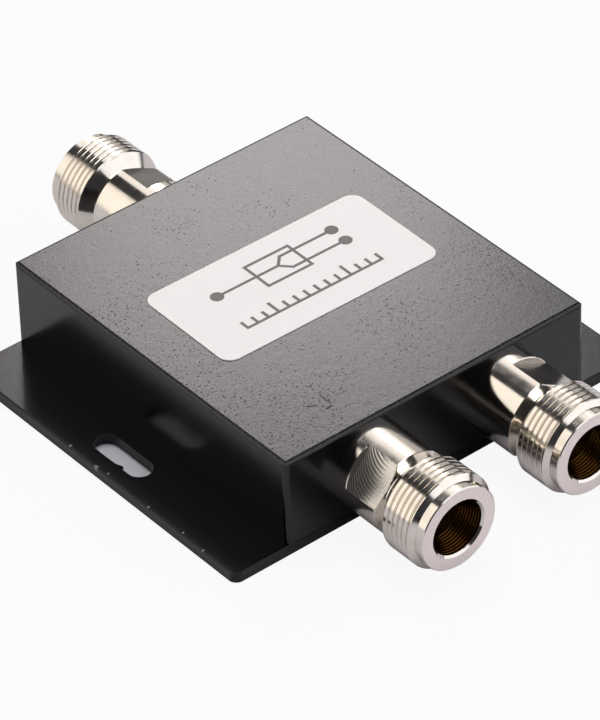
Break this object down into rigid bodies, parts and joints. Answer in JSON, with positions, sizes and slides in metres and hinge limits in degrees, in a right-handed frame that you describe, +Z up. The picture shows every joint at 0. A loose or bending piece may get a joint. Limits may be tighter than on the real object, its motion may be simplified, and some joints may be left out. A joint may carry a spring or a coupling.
{
  "type": "rf power splitter",
  "caption": "Flat black flanged box that splits a radio-frequency input at the rear between outputs at the front, with threaded coaxial sockets and slotted fixing flanges.",
  "frame": {"origin": "middle of the base plate's lower face", "axes": "+Z up, +Y towards the input socket, -Y towards the outputs, X across the flanges"},
  "size_m": [0.078, 0.1046, 0.0173],
  "materials": {
    "black_paint": "semi-gloss sprayed paint with fine pits",
    "white_label": "smooth satin film",
    "black_steel": "black oxide",
    "nickel": "bright nickel plating, turned and milled",
    "white_insulator": "waxy",
    "gold_plate": "bright",
    "brass": "turned",
    "laminate": "satin",
    "copper": "bright",
    "resistor": "satin",
    "steel": "bright zinc",
    "solder": "bright"
  },
  "bodies": {
    "root": {"housing": "black_paint", "base_plate": "black_paint", "base_screws": "black_steel", "label": "white_label", "circuit_board": "laminate", "microstrip": "copper", "isolation_resistor": "resistor", "board_screws": "steel", "solder_joints": "solder", "input_socket": "nickel", "input_insulator": "white_insulator", "input_contact": "gold_plate", "input_retainer": "brass", "left_output_socket": "nickel", "left_output_insulator": "white_insulator", "left_output_contact": "gold_plate", "left_output_retainer": "brass", "right_output_socket": "nickel", "right_output_insulator": "white_insulator", "right_output_contact": "gold_plate", "right_output_retainer": "brass"}
  },
  "joints": []
}
